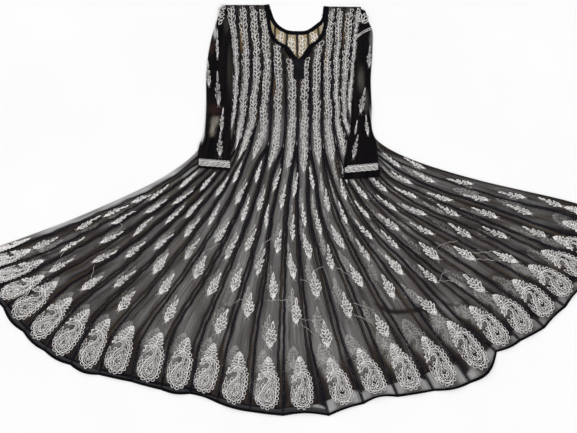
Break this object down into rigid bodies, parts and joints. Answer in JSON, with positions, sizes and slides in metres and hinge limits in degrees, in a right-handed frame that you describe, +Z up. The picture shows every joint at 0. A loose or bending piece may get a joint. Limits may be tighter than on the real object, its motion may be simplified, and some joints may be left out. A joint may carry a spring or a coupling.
{
  "type": "long kalidar kurti laid flat",
  "caption": "Long flared kurti of sheer dark cloth, cut in narrow full-length panels with let-in godets and covered in pale thread embroidery, laid flat with its sleeves turned down.",
  "frame": {"origin": "on the table under the middle of the laid garment", "axes": "+Y towards the neck, +X towards the right side of the picture, +Z up from the table out of the garment's front"},
  "size_m": [1.9442, 1.276, 0.0107],
  "materials": {
    "georgette": "sheer matt crepe, near black where it lies double",
    "sleeve_georgette": "the same sheer cloth in four layers, near black",
    "binding": "matt black bias strip",
    "thread": "soft off-white cotton thread, raised stitches"
  },
  "bodies": {
    "root": {"front_godet_01": "georgette", "front_panel_02": "georgette", "front_godet_03": "georgette", "front_panel_04": "georgette", "front_godet_05": "georgette", "front_panel_06": "georgette", "front_godet_07": "georgette", "front_panel_08": "georgette", "front_godet_09": "georgette", "front_panel_10": "georgette", "front_godet_11": "georgette", "front_panel_12": "georgette", "front_godet_13": "georgette", "front_panel_14": "georgette", "front_godet_15": "georgette", "front_panel_16": "georgette", "front_godet_17": "georgette", "front_panel_18": "georgette", "front_godet_19": "georgette", "front_panel_20": "georgette", "front_godet_21": "georgette", "front_panel_22": "georgette", "front_godet_23": "georgette", "front_panel_24": "georgette", "front_godet_25": "georgette", "front_panel_26": "georgette", "front_godet_27": "georgette", "front_panel_28": "georgette", "back_side_left": "georgette", "back_panel_04": "georgette", "back_godet_05": "georgette", "back_panel_06": "georgette", "back_godet_07": "georgette", "back_panel_08": "georgette", "back_godet_09": "georgette", "back_panel_10": "georgette", "back_godet_11": "georgette", "back_panel_12": "georgette", "back_godet_13": "georgette", "back_panel_14": "georgette", "back_godet_15": "georgette", "back_panel_16": "georgette", "back_godet_17": "georgette", "back_panel_18": "georgette", "back_godet_19": "georgette", "back_panel_20": "georgette", "back_godet_21": "georgette", "back_panel_22": "georgette", "back_godet_23": "georgette", "back_panel_24": "georgette", "back_godet_25": "georgette", "back_panel_26": "georgette", "back_side_right": "georgette", "sleeve_left": "sleeve_georgette", "sleeve_right": "sleeve_georgette", "front_neck_binding": "binding", "back_neck_binding": "binding", "placket_tab": "binding", "front_hem_binding": "binding", "back_hem_binding": "binding"}
  },
  "joints": []
}
